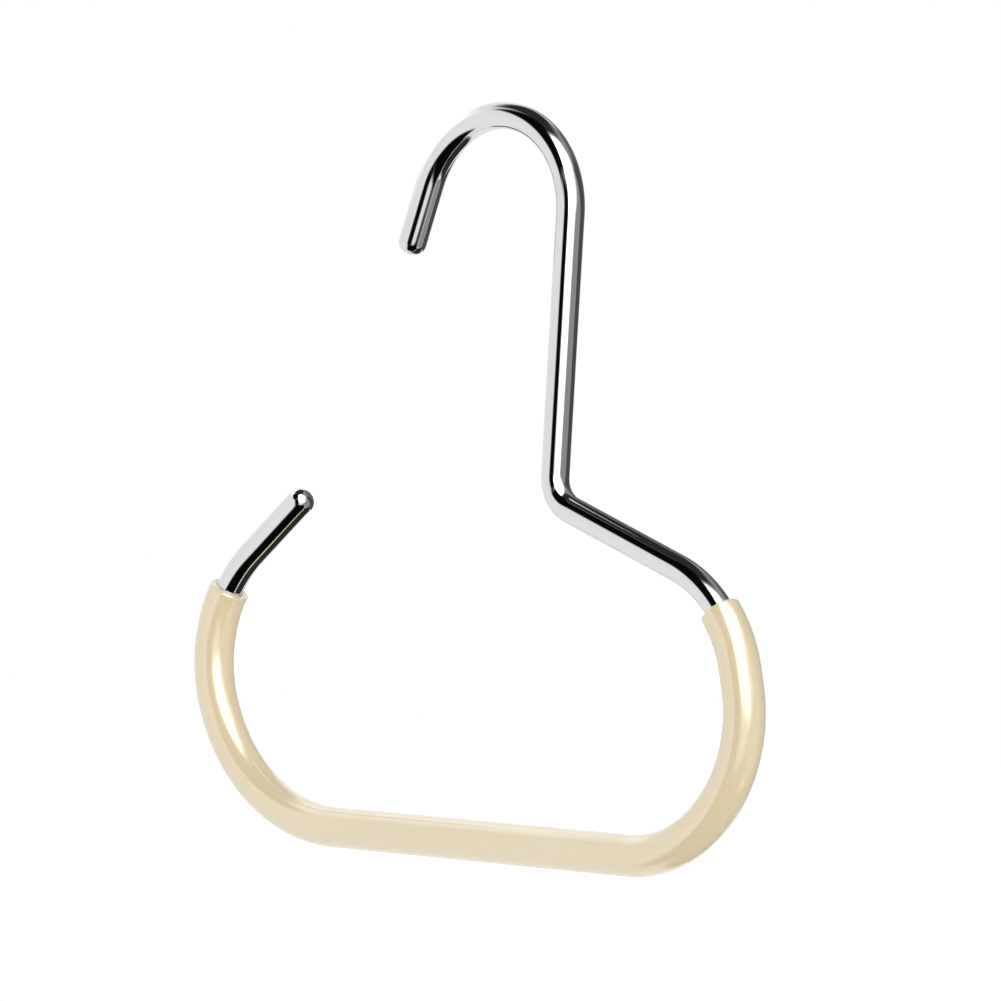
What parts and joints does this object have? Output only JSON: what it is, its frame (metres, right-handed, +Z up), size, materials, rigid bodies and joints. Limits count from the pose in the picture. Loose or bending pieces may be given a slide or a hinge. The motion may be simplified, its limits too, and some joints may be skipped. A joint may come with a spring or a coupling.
{
  "type": "scarf hanger",
  "caption": "Chromed wire scarf hanger: a rod hook and plumb shank run into a wide open loop, sheathed in a soft cream tube that keeps scarves from slipping.",
  "frame": {"origin": "top of the hook's inside, where it bears on the rod", "axes": "+Z up along the shank, +X from the shank towards the shoulder in the plane of the wire, +Y square to that plane and along the rod"},
  "size_m": [0.1589, 0.0088, 0.1584],
  "materials": {
    "chromed_wire": "bright polished chrome plate",
    "cream_sleeve": "soft vinyl tube, smooth satin gloss"
  },
  "bodies": {
    "root": {"hanger_wire": "chromed_wire", "grip_sleeve": "cream_sleeve"}
  },
  "joints": []
}
